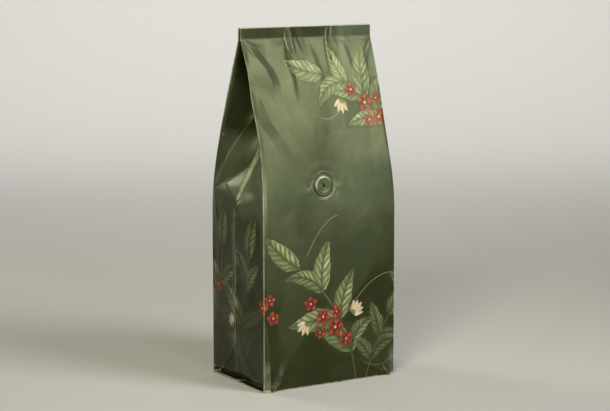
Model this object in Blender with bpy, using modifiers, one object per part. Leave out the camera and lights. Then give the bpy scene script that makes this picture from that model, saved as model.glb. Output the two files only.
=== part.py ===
"""Side-gusset coffee bag, filled and heat-sealed shut, with a one-way valve in its front panel.

The bag body is a loft through level outlines. Each outline holds a front panel, two gussets and a
back panel with its lap seam. Below the shoulder the outline is the filled block. Above it the
panels lean together and each gusset folds inward along its centre crease, up through the seal.
Frame: metres, +Z up, the origin under the middle of the base, the front panel facing -Y.
"""

import math

import bmesh
import bpy
import numpy as np
from mathutils import Vector

# Bag, in metres
WIDTH = 0.127
DEPTH = 0.0855
HEIGHT = 0.2935
FILM_FOLD = 0.0010

# Top seal: a pressed band whose gusset ends stand a little open
SEAL_FOOT = 0.2835
SEAL_CORE = 0.0014
SEAL_OPEN = 0.0044
SEAL_Y = -0.0034

# Leaning part: the panels bend gradually on both sides of this height
BEND_HEIGHT = 0.177
BEND_REACH = 0.041
WAIST_INSET = 0.0020
WAIST_HEIGHT = 0.203
WAIST_REACH = 0.032

# Gusset centre crease: bulged out below its knot, then straight inward to the full fold
KNOT_HEIGHT = 0.149
CREASE_SLOPE = 0.52
CREASE_BLEND = 0.002
BELLY = 0.0022
BELLY_FADE = 0.030
PILLOW = 0.0020

# Crowns of the front and back panels
FRONT_CROWN = 0.0028
BACK_CROWN = 0.0030

# Base: a thin rim, a recess above it at each side, and soft front and back edges
RIM = 0.0008
RECESS_DEPTH = 0.0050
RECESS_TOP = 0.0052
RECESS_ROUND = 0.0038
BASE_ROUND = 0.0009

# Back lap seam
SEAM_WIDTH = 0.0120
SEAM_THICK = 0.0008
SEAM_EDGE = 0.0006

# Valve
VALVE_X = -0.0070
VALVE_HEIGHT = 0.1660
VALVE_GAP = 0.0003
VALVE_RADIUS = 0.0122
VALVE_FLANGE = 0.0008
VALVE_FOOT_RADIUS = 0.0092
VALVE_TOP_RADIUS = 0.0066
VALVE_TOP = 0.0022
PINHOLE_RADIUS = 0.0007
PINHOLE_DEPTH = 0.0010
VALVE_STEPS = 64

# Points of an outline and levels of the loft
PANEL_STEPS = 16
HALF_GUSSET_STEPS = 8
BODY_LEVELS = 9
LEAN_LEVELS = 17
NECK_LEVELS = 7

OLIVE_FILM = (0.105, 0.122, 0.068, 1.0)
VALVE_OLIVE = (0.125, 0.143, 0.084, 1.0)


def clear_scene():
    for thing in list(bpy.data.objects):
        bpy.data.objects.remove(thing, do_unlink=True)


def film_material(name, colour, roughness):
    material = bpy.data.materials.new(name)
    material.use_nodes = True
    shader = material.node_tree.nodes["Principled BSDF"]
    shader.inputs["Base Color"].default_value = colour
    shader.inputs["Roughness"].default_value = roughness
    shader.inputs["Metallic"].default_value = 0.0
    return material


def soft_bend(distance, reach):
    """Zero well before the bend and `distance` well after it, joined by a parabola over +-reach."""
    inside = np.clip(distance + reach, 0.0, 2 * reach)
    return inside**2 / (4 * reach) + max(distance - reach, 0.0)


def soft_least(first, second, blend):
    """The smaller of two lengths, with the corner between them rounded."""
    return 0.5 * (first + second - math.sqrt((first - second) ** 2 + 4 * blend**2))


def lean(z):
    """0 on the upright block and 1 from the seal's foot upward."""
    run = SEAL_FOOT - BEND_HEIGHT
    return float(soft_bend(min(z, SEAL_FOOT) - BEND_HEIGHT, BEND_REACH) / run)


def base_round(z):
    """How far the front and back panels draw in where they turn under the base."""
    rise = max(BASE_ROUND - z, 0.0)
    return BASE_ROUND - math.sqrt(BASE_ROUND**2 - rise**2)


def front_edge(z):
    """Y of the front panel's two side edges."""
    top = SEAL_Y - SEAL_OPEN / 2
    return -DEPTH / 2 + (DEPTH / 2 + top) * lean(z) + base_round(z)


def back_edge(z):
    """Y of the back panel's two side edges."""
    top = SEAL_Y + SEAL_OPEN / 2
    return DEPTH / 2 - (DEPTH / 2 - top) * lean(z) - base_round(z)


def half_width(z):
    """Half the width, drawn in a little where the gussets start to fold."""
    return WIDTH / 2 - WAIST_INSET * math.exp(-(((z - WAIST_HEIGHT) / WAIST_REACH) ** 2))


def crease_depth(z):
    """How far the gusset's centre crease lies inside the bag's side.

    Film doesn't stretch, so a half gusset of DEPTH / 2 whose edges stand a half depth apart can
    reach inward by the third side of that triangle. Just above the knot the filling holds it out,
    and it follows a straight line instead.
    """
    half_depth = (back_edge(z) - front_edge(z)) / 2
    folded = math.sqrt(max((DEPTH / 2) ** 2 - half_depth**2, 0.0))
    held = max(z - KNOT_HEIGHT, 0.0) * CREASE_SLOPE
    return max(soft_least(folded, held, CREASE_BLEND), 0.0)


def belly(z):
    """How far the filling bulges the upright part of a gusset, most at the knot."""
    rising = math.sin(math.pi / 2 * min(z / KNOT_HEIGHT, 1.0))
    falling = min(max((z - KNOT_HEIGHT) / BELLY_FADE, 0.0), 1.0)
    return BELLY * rising * (1 - falling) ** 2


def pillow(z):
    """How far the filling rounds each half of a folded gusset."""
    share = min(max((z - KNOT_HEIGHT) / (SEAL_FOOT - KNOT_HEIGHT), 0.0), 1.0)
    return PILLOW * math.sin(math.pi * share**0.6)


def recess(z):
    """Depth of the hollow between the base rim and the foot of a gusset."""
    if z <= RIM:
        return 0.0
    if z <= RECESS_TOP:
        return RECESS_DEPTH
    rest = max(RECESS_TOP + RECESS_ROUND - z, 0.0) / RECESS_ROUND
    return RECESS_DEPTH * (1.0 - math.sqrt(1.0 - rest**2))


def panel_bulge(share, z, crown):
    """Outward bulge of a panel: `share` runs from -1 to 1 across it.

    It is crowned by the filling and fades into the seal, where the panel is pressed back from its
    open ends to the flat core of the band.
    """
    closing = lean(z) ** 2
    rounding = math.sin(math.pi / 2 * min(z / 0.05, 1.0))
    crowned = crown * (1 - share**2) * rounding * (1 - closing)
    fold_share = 1 - DEPTH / WIDTH
    pressed = np.clip((1 - abs(share)) / (1 - fold_share), 0.0, 1.0)
    return crowned - closing * pressed * (SEAL_OPEN - SEAL_CORE) / 2


def seam_relief(x):
    """Height of the back lap seam over the back panel."""
    inside = (SEAM_WIDTH / 2 + SEAM_EDGE - abs(x)) / SEAM_EDGE
    return SEAM_THICK * min(max(inside, 0.0), 1.0)


def front_panel(z):
    half = half_width(z)
    shares = np.linspace(-1, 1, PANEL_STEPS + 1)
    return [(half * s, front_edge(z) - panel_bulge(s, z, FRONT_CROWN)) for s in shares]


def back_panel(z):
    half = half_width(z)
    ends = [SEAM_WIDTH / 2, SEAM_WIDTH / 2 + SEAM_EDGE]
    seam = [side * end / half for side in (-1, 1) for end in ends]
    shares = np.concatenate([np.linspace(-1, 1, PANEL_STEPS + 1), seam])
    shares = np.sort(shares)[::-1]
    back = back_edge(z)
    return [(half * s, back + panel_bulge(s, z, BACK_CROWN) + seam_relief(half * s)) for s in shares]


def right_gusset(z):
    """Outline between the two right-hand corners, which belong to the panels."""
    half = half_width(z)
    near = front_edge(z) + FILM_FOLD
    far = back_edge(z) - FILM_FOLD
    middle = (near + far) / 2
    points = [(half, near - FILM_FOLD / 2)]
    for step in range(2 * HALF_GUSSET_STEPS + 1):
        across = step / HALF_GUSSET_STEPS - 1
        inward = 1 - abs(across)
        swell = belly(z) * (1 - across**2) + pillow(z) * math.sin(math.pi * inward)
        x = half - crease_depth(z) * inward + swell - recess(z)
        points.append((x, middle + across * (far - near) / 2))
    return [*points, (half, far + FILM_FOLD / 2)]


def outline(z):
    """The bag's closed level outline, counter-clockwise from above."""
    right = right_gusset(z)
    left = [(-x, y) for x, y in reversed(right)]
    return front_panel(z) + right + back_panel(z) + left


def levels():
    base = [0.0, BASE_ROUND / 2, RIM, 1.5 * RIM, RECESS_TOP]
    rounding = [RECESS_TOP + RECESS_ROUND * share for share in (0.15, 0.5, 1.0)]
    body = np.linspace(rounding[-1], KNOT_HEIGHT, BODY_LEVELS + 1)[1:]
    leaning = np.linspace(KNOT_HEIGHT, 0.235, LEAN_LEVELS + 1)[1:]
    neck = np.linspace(0.235, SEAL_FOOT, NECK_LEVELS + 1)[1:]
    return [*base, *rounding, *body, *leaning, *neck, HEIGHT]


def bag_mesh():
    """Skins the outlines of all levels, with a flat cap under the base and one on the seal."""
    mesh = bmesh.new()
    rings = []
    for z in levels():
        rings.append([mesh.verts.new((x, y, z)) for x, y in outline(z)])
    for lower, upper in zip(rings, rings[1:]):
        for i in range(len(lower)):
            j = (i + 1) % len(lower)
            mesh.faces.new((lower[i], lower[j], upper[j], upper[i]))
    mesh.faces.new(reversed(rings[0]))
    mesh.faces.new(rings[-1])
    data = bpy.data.meshes.new("bag")
    mesh.to_mesh(data)
    mesh.free()
    return data


def make_bag(parts):
    bag = bpy.data.objects.new("bag", bag_mesh())
    bag.data.materials.append(film_material("olive_film", OLIVE_FILM, 0.42))
    parts.objects.link(bag)
    return bag


def valve_profile():
    """Half section of the valve, top to bottom: pinhole, button, sloping shoulder, thin flange."""
    rounding = [
        (VALVE_TOP_RADIUS + 0.0004 * math.sin(turn), VALVE_TOP - 0.0004 * (1 - math.cos(turn)))
        for turn in np.linspace(0, math.pi / 3, 4)
    ]
    return [
        (0.0, VALVE_TOP - PINHOLE_DEPTH),
        (PINHOLE_RADIUS, VALVE_TOP - PINHOLE_DEPTH),
        (PINHOLE_RADIUS, VALVE_TOP),
        *rounding,
        (VALVE_FOOT_RADIUS, VALVE_FLANGE),
        (VALVE_RADIUS - 0.0002, VALVE_FLANGE),
        (VALVE_RADIUS, VALVE_FLANGE - 0.0002),
        (VALVE_RADIUS, 0.0),
        (0.0, 0.0),
    ]


def panel_point(x, z):
    """The front panel's surface point at this width and height."""
    y = front_edge(z) - panel_bulge(x / half_width(z), z, FRONT_CROWN)
    return Vector((x, y, z))


def make_valve(parts):
    """Turns the valve's profile round its axis and sets it on the front panel, facing outward."""
    profile = valve_profile()
    data = bpy.data.meshes.new("valve")
    edges = [(i, i + 1) for i in range(len(profile) - 1)]
    data.from_pydata([(radius, 0.0, height) for radius, height in profile], edges, [])
    data.materials.append(film_material("olive_valve", VALVE_OLIVE, 0.38))
    valve = bpy.data.objects.new("valve", data)
    parts.objects.link(valve)

    turn = valve.modifiers.new("turned", "SCREW")
    turn.axis = "Z"
    turn.steps = VALVE_STEPS
    turn.render_steps = VALVE_STEPS
    turn.use_merge_vertices = True
    turn.merge_threshold = 0.00001
    turn.use_smooth_shade = True

    centre = panel_point(VALVE_X, VALVE_HEIGHT)
    across = panel_point(VALVE_X + VALVE_RADIUS, VALVE_HEIGHT) - centre
    along = panel_point(VALVE_X, VALVE_HEIGHT + VALVE_RADIUS) - centre
    outward = across.cross(along).normalized()
    valve.location = centre + outward * VALVE_GAP
    valve.rotation_euler = outward.to_track_quat("Z", "Y").to_euler()
    return valve


def main():
    clear_scene()
    parts = bpy.data.collections.new("coffee_bag")
    bpy.context.scene.collection.children.link(parts)
    make_bag(parts)
    make_valve(parts)


main()
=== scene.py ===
"""Looks of a filled side-gusset coffee bag with a round one-way valve.

Every sheet of film is a surface worked out on a grid: rows climb the bag, and columns run round it
counter-clockwise as seen from above. Shapes are drawn in millimetres in the bag's own frame, with
+Z up, the origin under the middle of the base and the front panel facing -Y. to_metres() then sets
them into the box of the CAD bag.
"""

import math

import bpy
import numpy as np
from mathutils import Matrix, Vector


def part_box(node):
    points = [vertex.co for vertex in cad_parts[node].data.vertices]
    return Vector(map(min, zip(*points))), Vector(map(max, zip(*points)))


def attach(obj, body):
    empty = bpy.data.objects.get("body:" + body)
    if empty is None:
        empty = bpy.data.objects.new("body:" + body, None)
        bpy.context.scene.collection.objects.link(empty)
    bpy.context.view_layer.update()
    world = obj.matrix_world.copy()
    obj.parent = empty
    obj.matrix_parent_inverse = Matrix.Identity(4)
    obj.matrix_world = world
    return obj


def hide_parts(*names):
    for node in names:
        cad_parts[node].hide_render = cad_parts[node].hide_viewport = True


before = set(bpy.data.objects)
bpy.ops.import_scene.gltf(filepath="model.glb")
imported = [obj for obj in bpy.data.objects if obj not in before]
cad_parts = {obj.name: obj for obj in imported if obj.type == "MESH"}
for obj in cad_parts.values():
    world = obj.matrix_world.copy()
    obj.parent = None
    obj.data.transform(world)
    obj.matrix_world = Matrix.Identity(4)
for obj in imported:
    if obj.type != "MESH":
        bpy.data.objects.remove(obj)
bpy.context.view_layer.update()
bag_low, bag_high = (np.array(corner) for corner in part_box("bag"))
valve_low, valve_high = (np.array(corner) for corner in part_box("valve"))

# ------------------------------------------------------------------ drawn sizes, in millimetres
DRAWN_LOW = np.array([-65.65, -45.55, 0.0])
DRAWN_HIGH = np.array([65.65, 46.55, 293.5])
WIDTH = 127.0
DEPTH = 85.5
HEIGHT = 293.5
FILM = 0.25

SEAL_FOOT = 283.5
SEAL_Y = -3.4
SEAL_OPEN = 4.4
SEAL_LAYERS = 0.75
SEAL_TWIST = 1.0
FOLD_END = WIDTH / 2 - DEPTH / 2

BEND_HEIGHT = 177.0
BEND_REACH = 41.0
WAIST_INSET = 2.0
BACK_INSET = 1.0
WAIST_HEIGHT = 203.0
WAIST_REACH = 32.0
PUFF = 2.8
PUFF_HEIGHT = 258.0
PUFF_REACH = 18.0

KNOT = 148.0
SHOULDER = 158.0
APEX = 244.0
CREASE_SLOPE = 0.52
BELLY = 1.2
BELLY_FADE = 30.0
PILLOW = 1.3

FRONT_CROWN = 2.8
BACK_CROWN = 3.0
CORNER = 0.7
LOWER_FOLD = 1.0
UPPER_FOLD = 0.6
BASE_ROUND = 0.9
RECESS_DEPTH = 5.0
RECESS_TOP = 5.2
RECESS_ROUND = 3.8
SEAM_WIDTH = 12.0
FLAP_THICKNESS = 0.7

VALVE_RADIUS = 11.1


def to_metres(points):
    """Sets drawn points into the CAD bag's box, so that the drawn box and that box coincide."""
    share = (points - DRAWN_LOW) / (DRAWN_HIGH - DRAWN_LOW)
    return bag_low + share * (bag_high - bag_low)


def to_drawn(point):
    """The reverse of to_metres()."""
    share = (point - bag_low) / (bag_high - bag_low)
    return DRAWN_LOW + share * (DRAWN_HIGH - DRAWN_LOW)


valve_middle = to_drawn((valve_low + valve_high) / 2)
VALVE_X = valve_middle[0]
VALVE_Z = valve_middle[2]


# ------------------------------------------------------------------ soft steps and folds
def smooth(value):
    """0 below 0 and 1 above 1, with a cubic between."""
    value = np.clip(value, 0.0, 1.0)
    return value * value * (3 - 2 * value)


def bump(distance, reach):
    """A bell curve: 1 at no distance and nearly 0 past twice the reach."""
    return np.exp(-((distance / reach) ** 2))


def soft_bend(distance, reach):
    """Zero well before the bend, the distance well after it, and a parabola between."""
    inside = np.clip(distance + reach, 0.0, 2 * reach)
    return inside**2 / (4 * reach) + np.maximum(distance - reach, 0.0)


def soft_least(first, second, blend):
    """The smaller of two lengths, with the corner between them rounded."""
    return 0.5 * (first + second - np.sqrt((first - second) ** 2 + 4 * blend**2))


def pleats(x, z, folds):
    """Height of straight folds pressed into film, added together.

    A fold runs from (x0, z0) to (x1, z1). It rises by `rise` on that line, falls evenly to nothing
    `left` and `right` of it as seen looking at the film with the fold running down, starts over
    its first eighth and dies out over its last two thirds, and widens as it goes.
    """
    height = np.zeros(np.broadcast(x, z).shape)
    for x0, z0, x1, z1, left, right, rise in folds:
        run = math.hypot(x1 - x0, z1 - z0)
        to_x, to_z = (x1 - x0) / run, (z1 - z0) / run
        along = ((x - x0) * to_x + (z - z0) * to_z) / run
        across = (z - z0) * to_x - (x - x0) * to_z
        reach = np.where(across < 0, left, right) * (0.4 + 0.6 * np.clip(along, 0, 1))
        flank = np.clip(1 - np.abs(across) / reach, 0, 1)
        height += rise * flank * smooth(along * 8) * smooth((1 - along) / 0.66)
    return height


def ridges(x, z, lines):
    """Height of long folds that run up or down the film, added together.

    A line is (left, right, stops): the reach of its two flanks, and (x, z, rise) stops from its
    top down. Between stops its crest runs straight, and both flanks fall evenly to nothing.
    """
    height = np.zeros(np.broadcast(x, z).shape)
    for left, right, stops in lines:
        crest_x, crest_z, rise = np.array(stops[::-1]).T
        across = x - np.interp(z, crest_z, crest_x)
        reach = np.where(across < 0, left, right)
        lift = np.interp(z, crest_z, rise, left=0, right=0)
        height += lift * np.clip(1 - np.abs(across) / reach, 0, 1)
    return height


def crumple(x, z, middle, reach, rise, count, seed):
    """Short random folds that spread from one knot in the film."""
    random = np.random.default_rng(seed)
    folds = []
    for turn in random.uniform(0, 2 * math.pi, count):
        start = random.uniform(0.05, 0.35) * reach
        end = start + random.uniform(0.35, 0.8) * reach
        width = random.uniform(0.08, 0.2, 2) * reach
        folds.append(
            (
                middle[0] + start * math.cos(turn),
                middle[1] + start * math.sin(turn),
                middle[0] + end * math.cos(turn),
                middle[1] + end * math.sin(turn),
                width[0],
                width[1],
                rise * random.uniform(-1, 1),
            )
        )
    return pleats(x, z, folds)


def swell(x, z, lengths, rise, seed):
    """Broad uneven swelling: a sum of slanting sine waves of the given lengths."""
    random = np.random.default_rng(seed)
    height = np.zeros(np.broadcast(x, z).shape)
    for length in lengths:
        turn, phase = random.uniform(0, math.pi), random.uniform(0, 2 * math.pi)
        path = x * math.cos(turn) + z * math.sin(turn)
        height += rise * (length / max(lengths)) * np.sin(2 * math.pi * path / length + phase)
    return height


# ------------------------------------------------------------------ the bag's level outline
def lean(z):
    """0 on the upright block and 1 from the seal's foot upward."""
    run = SEAL_FOOT - BEND_HEIGHT
    return soft_bend(np.minimum(z, SEAL_FOOT) - BEND_HEIGHT, BEND_REACH) / run


def twist(share, z):
    """The seal is turned a little: its left end stands forward and its right end back."""
    return SEAL_TWIST * share * lean(z) ** 2


def base_round(z):
    """How far the front and back panels draw in where they turn under the base."""
    rise = np.clip(BASE_ROUND - z, 0.0, BASE_ROUND)
    return BASE_ROUND - np.sqrt(BASE_ROUND**2 - rise**2)


def front_edge(share, z):
    """Y of the front panel before its crown. Its left fold also puffs forward below the seal."""
    closing = DEPTH / 2 + SEAL_Y - SEAL_OPEN / 2
    puff = PUFF * bump(z - PUFF_HEIGHT, PUFF_REACH) * ((1 - share) / 2) ** 3
    return -DEPTH / 2 + closing * lean(z) + base_round(z) + twist(share, z) - puff


def back_edge(share, z):
    """Y of the back panel before its crown."""
    closing = DEPTH / 2 - SEAL_Y - SEAL_OPEN / 2
    return DEPTH / 2 - closing * lean(z) - base_round(z) + twist(share, z)


def half_width(z, inset=WAIST_INSET):
    """Half the width, drawn in a little where the gussets start to fold."""
    return WIDTH / 2 - inset * bump(z - WAIST_HEIGHT, WAIST_REACH)


def pressed_in(share, z):
    """How far the seal presses a panel back from its open ends to the flat core of the band."""
    core = (SEAL_OPEN - SEAL_LAYERS) / 2
    ends = np.clip((1 - np.abs(share)) / (DEPTH / WIDTH), 0, 1)
    return lean(z) ** 2 * core * ends


def crowned(share, z, crown):
    """How far the filling rounds a panel outward. The rounding fades into base and seal."""
    rounding = np.sin(np.pi / 2 * np.clip(z / 50, 0, 1))
    return crown * (1 - share**2) * rounding * (1 - lean(z) ** 2)


# ------------------------------------------------------------------ relief of the two panels
FRONT_RIDGES = [
    # Upper left: a wedge beside the fold, then a broad facet that ends at a sharp ridge
    (14, 8, ((-60.6, 282, 0.4), (-58.6, 279, 1.1), (-52.1, 269, 1.9), (-46.4, 261, 2.0), (-42.4, 250, 1.5), (-41.5, 240, 0.7), (-42.0, 226, 0.0))),
    (18, 4, ((-22.2, 282, 1.3), (-25.2, 270, 1.7), (-24.4, 262, 1.6), (-22.2, 255, 1.1), (-22.0, 244, 0.7), (-24.0, 230, 0.0))),
    (11, 10, ((-57.0, 246, 0.0), (-54.6, 238, 0.9), (-47.3, 217, 1.1), (-38.0, 201, 0.6), (-29.0, 184, 0.0))),
    (14, 16, ((-32.0, 250, 0.0), (-20.0, 228, 0.5), (-12.0, 208, 0.5), (-9.0, 186, 0.0))),
    (8, 5, ((-2.0, 281, 0.2), (2.0, 270, 0.7), (5.0, 256, 0.5), (6.0, 240, 0.0))),
    # Upper right
    (16, 3, ((61.0, 244, 0.0), (60.6, 216, 1.1), (60.2, 186, 1.1), (60.0, 152, 0.0))),
    (10, 4, ((33.0, 281, 0.3), (35.5, 270, 0.7), (38.0, 256, 0.4), (40.0, 244, 0.0))),
    (12, 6, ((58.0, 280, 0.3), (51.0, 266, 0.9), (46.0, 250, 0.7), (43.0, 232, 0.0))),
    (14, 18, ((30.0, 262, 0.0), (24.0, 240, 0.5), (21.0, 222, 0.5), (22.0, 200, 0.0))),
    # Foot: the film bunches at the two bottom corners
    (6, 9, ((-62.6, 70, 0.0), (-60.4, 40, 1.2), (-57.6, 4, 2.0), (-57.2, -2, 1.9))),
    (4, 10, ((62.4, 52, 0.0), (60.2, 28, 0.9), (58.0, 3, 1.7), (57.8, -2, 1.5))),
    # Middle: slack beside the left fold
    (6, 14, ((-60.0, 186, 0.0), (-54.5, 172, 0.28), (-52.0, 156, 0.22), (-53.0, 138, 0.0))),
]
FRONT_FOLDS = [
    (-62.6, 283.3, -44.0, 275.5, 2.2, 3.4, 0.9),
    (-61.5, 281.6, -52.0, 268.0, 2.0, 3.0, -0.5),
    (62.8, 283.0, 49.0, 278.5, 2.2, 2.4, 0.8),
    (62.0, 281.5, 50.0, 266.0, 3.0, 2.6, -0.6),
    (-57.6, -2.0, -34.0, 32.0, 4.0, 9.0, 1.9),
    (-59.0, 41.0, -57.4, 33.0, 1.6, 1.4, 0.6),
    (-54.0, -1.0, -30.0, 10.0, 3.0, 4.0, -0.5),
    (58.4, -2.0, 42.0, 25.0, 8.0, 3.4, 1.6),
    (55.0, -1.0, 30.0, 9.0, 3.5, 3.0, -0.45),
]
# Folds that both panels share, where the seal presses them together
SHARED_RIDGES = [
    (4.5, 2.6, ((-17.0, 294, 1.3), (-15.0, 285, 1.4), (-14.4, 278, 1.0), (-15.2, 268, 0.0))),
    (2.4, 3.2, ((-20.8, 290, -0.3), (-20.6, 283, -1.0), (-18.0, 274, -1.1), (-16.4, 264, 0.0))),
    (4.0, 5.5, ((-11.0, 294, -0.6), (-9.0, 288, -1.0), (-5.0, 279, -1.1), (-2.0, 268, 0.0))),
    (2.6, 2.2, ((21.0, 294, -1.4), (20.0, 284, -2.6), (18.6, 273, -2.0), (18.0, 256, 0.0))),
    (2.2, 6.0, ((24.2, 294, 0.7), (23.6, 284, 0.9), (23.0, 272, 0.8), (23.4, 256, 0.0))),
    (3.0, 4.5, ((34.4, 294, 0.4), (35.6, 286, 0.5), (37.6, 278, 0.0))),
    (5.0, 5.0, ((-40.0, 294, 0.25), (-38.0, 286, 0.3), (-35.0, 278, 0.0))),
]

BACK_FOLDS = [
    (-62.6, 283.3, -46.0, 272.0, 3.0, 3.5, 0.7),
    (62.6, 283.3, 44.0, 268.0, 3.5, 3.0, 0.7),
    (62.0, 281.0, 50.0, 252.0, 5.0, 4.0, -0.8),
    (-61.5, 281.0, -40.0, 250.0, 5.0, 6.0, -0.8),
    (-21.5, 300.0, -24.0, 262.0, 5.0, 2.0, 1.0),
    (-18.0, 300.0, -12.0, 270.0, 2.0, 4.0, -0.8),
    (21.0, 300.0, 25.0, 258.0, 2.0, 6.0, 1.1),
    (16.5, 300.0, 14.0, 266.0, 4.0, 3.0, -0.8),
    (48.0, 262.0, 30.0, 215.0, 8.0, 7.0, 0.6),
    (-50.0, 255.0, -34.0, 205.0, 8.0, 7.0, 0.55),
    (62.0, 190.0, 40.0, 168.0, 5.0, 5.0, -0.5),
    (-62.0, 186.0, -44.0, 160.0, 5.0, 5.0, -0.45),
    (-58.0, -2.0, -40.0, 26.0, 5.0, 6.0, 0.75),
    (58.0, -2.0, 42.0, 24.0, 6.0, 5.0, 0.75),
    (62.0, 58.0, 57.5, 0.5, 7.0, 8.0, 0.7),
    (-62.0, 52.0, -57.5, 0.5, 8.0, 7.0, 0.7),
]


def seal_marks(x, z):
    """The heat-seal band: a fine ridge at its foot and the steps where the gussets' folds end."""
    foot = 0.3 * bump(z - SEAL_FOOT + 0.8, 0.9)
    steps = 0.25 * smooth((np.abs(x) - FOLD_END) / 1.2) * smooth((z - SEAL_FOOT + 14) / 10)
    return foot + steps


def below_seal(z):
    """1 on the open film and 0 in the band, where the panels can't fold apart from each other."""
    return smooth((SEAL_FOOT + 1.5 - z) / 7)


def shared_shift(x, z):
    """How far the folds that the two panels share stand forward."""
    return ridges(x, z, SHARED_RIDGES) + 0.5 * np.sin(x / 24.0 + 0.6) * smooth((z - 262) / 24)


def valve_marks(x, z):
    """Film drawn in round the valve: a wide shallow dish, the hollow that the valve sits in, hidden
    under its rim, and short creases that spread to both sides."""
    radius = np.hypot(x - VALVE_X, z - VALVE_Z)
    turn = np.arctan2(z - VALVE_Z, x - VALVE_X)
    dish = -0.3 * smooth((17.0 - radius) / 5.5)
    hollow = -2.1 * smooth((VALVE_RADIUS - 0.45 - radius) / 1.0)
    past = np.clip(radius - VALVE_RADIUS - 0.6, 0, None)
    sides = 0.15 + 0.85 * np.cos(turn) ** 4
    rays = np.cos(9 * turn + 0.8) + 0.6 * np.cos(14 * turn + 2.1) + 0.5 * np.cos(5 * turn)
    creases = 0.3 * rays * sides * np.exp(-past / 4.0) * smooth(past / 1.5)
    return dish + hollow + creases


def front_relief(x, z):
    broad = swell(x, z, (118.0, 83.0, 57.0), 0.3, 3) * smooth(z / 25)
    broad = broad + 1.7 * bump(x + 12, 30) * bump(z - 230, 24)
    fine = swell(x, z, (23.0, 15.0, 9.5), 0.025, 8)
    knots = crumple(x, z, (-60.5, 283.0), 22.0, 0.22, 16, 11)
    knots = knots + crumple(x, z, (61.0, 283.0), 24.0, 0.25, 14, 12)
    knots = knots + crumple(x, z, (-58.0, 2.0), 24.0, 0.4, 14, 13)
    knots = knots + crumple(x, z, (58.0, 2.0), 26.0, 0.4, 14, 14)
    knots = knots + crumple(x, z, (-18.0, 285.0), 18.0, 0.25, 12, 15)
    knots = knots + crumple(x, z, (20.5, 285.0), 20.0, 0.25, 12, 16)
    folds = pleats(x, z, FRONT_FOLDS) + ridges(x, z, FRONT_RIDGES) + knots
    return (broad + fine + folds) * below_seal(z) + seal_marks(x, z) + valve_marks(x, z)


def back_relief(x, z):
    broad = swell(x, z, (70.0, 49.0, 33.0), 0.35, 23) * smooth(z / 25)
    fine = swell(x, z, (18.0, 11.5, 8.0), 0.07, 28)
    knots = crumple(x, z, (-60.5, 283.0), 26.0, 0.4, 14, 31)
    knots = knots + crumple(x, z, (61.0, 283.0), 26.0, 0.4, 14, 32)
    knots = knots + crumple(x, z, (-58.0, 2.0), 24.0, 0.4, 12, 33)
    knots = knots + crumple(x, z, (58.0, 2.0), 24.0, 0.4, 12, 34)
    return (broad + fine + pleats(x, z, BACK_FOLDS) + knots) * below_seal(z) + seal_marks(x, z)


# ------------------------------------------------------------------ the gussets
def crease_depth(z):
    """How far the gusset's centre crease lies inside the bag's side.

    Film doesn't stretch, so each half gusset reaches inward by the third side of a triangle. Just
    above the knot the filling holds it out, and it follows a straight line instead.
    """
    half_depth = (back_edge(0.0, z) - front_edge(0.0, z)) / 2
    folded = np.sqrt(np.maximum((DEPTH / 2) ** 2 - half_depth**2, 0.0))
    held = np.maximum(z - KNOT, 0.0) * CREASE_SLOPE
    return np.maximum(soft_least(folded, held, 1.0), 0.0)


def by_height(z, *stops):
    """Straight runs between (height, value) stops."""
    heights, values = zip(*stops)
    return np.interp(z, heights, values)


def along_rails(across, rails):
    """Depth of flat facets between rails: (place across, depth) pairs in order, straight between."""
    depth = rails[0][1] + np.zeros_like(across)
    for (place, low), (next_place, high) in zip(rails, rails[1:]):
        share = np.clip((across - place) / np.maximum(next_place - place, 1e-4), 0, 1)
        depth = depth + (high - low) * share
    return depth


def back_half_depth(across, z, pinch):
    """Depth of the half gusset next to the back panel; `across` is 0 at the centre, 1 at the fold.

    Its facets meet on four rails: the centre crease, the edge of the pinched strip beside it, a
    valley that falls from the shoulder to the pinch, and a ridge that climbs to the apex.
    """
    centre = crease_depth(z)
    strip = by_height(z, (KNOT, 0), (156, 0.028), (165, 0.056), (184, 0.058), (206, 0.05), (236, 0.0))
    lift = pinch * by_height(z, (KNOT, 0), (155, 0.5), (164, 0.85), (206, 0.85), (240, 0))
    valley = by_height(z, (KNOT, 0), (SHOULDER, 0.955), (163, 0.77), (168, 0.56), (173, 0.36), (181, 0.12))
    valley_depth = by_height(z, (SHOULDER, 0), (163, 2.7), (168, 6.1), (173, 9.2), (181, 13.2))
    ridge = by_height(z, (SHOULDER, 0.975), (172, 0.78), (187, 0.62), (200, 0.49), (213, 0.36), (APEX, 0.0))
    slack = by_height(z, (SHOULDER, 0.35), (172, 0.5), (200, 0.74), (APEX, 1.0))
    strip_depth = np.maximum(centre - lift, 0.0)
    valley = np.maximum(valley, strip + 1e-3)
    valley_depth = np.where(z > 181, strip_depth, np.minimum(valley_depth, centre))
    ridge = np.maximum(ridge, valley + 1e-3)
    ridge_depth = (1 - ridge) * centre * slack
    blend = smooth((z - 205) / 40)
    straight = centre * (1 - across)
    rails = [(0 * z, centre), (strip, strip_depth), (valley, valley_depth), (ridge, ridge_depth), (1 + 0 * z, 0 * z)]
    return along_rails(across, rails) * (1 - blend) + straight * blend


def front_half_depth(across, z, pinch):
    """Depth of the half gusset next to the front panel. A crease climbs from the knot to the fold,
    and the film below it leans back as a lens-shaped facet."""
    centre = crease_depth(z)
    crease = by_height(z, (KNOT, 0), (156, 0.32), (160.6, 0.53), (162.4, 0.86), (164, 0.96))
    crease_low = by_height(z, (KNOT, 0), (156, 2.1), (160.6, 3.4), (162.4, 1.4), (164, 0.3))
    foot = np.maximum(by_height(z, (KNOT, 0), (157, 0.965), (164, 0.975)), crease + 1e-3)
    crease_low = np.where(z > 164, centre * 0.04, np.minimum(crease_low, centre))
    rails = [(0 * z, centre), (crease, crease_low), (foot, 0 * z), (1 + 0 * z, 0 * z)]
    return along_rails(across, rails)


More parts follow.
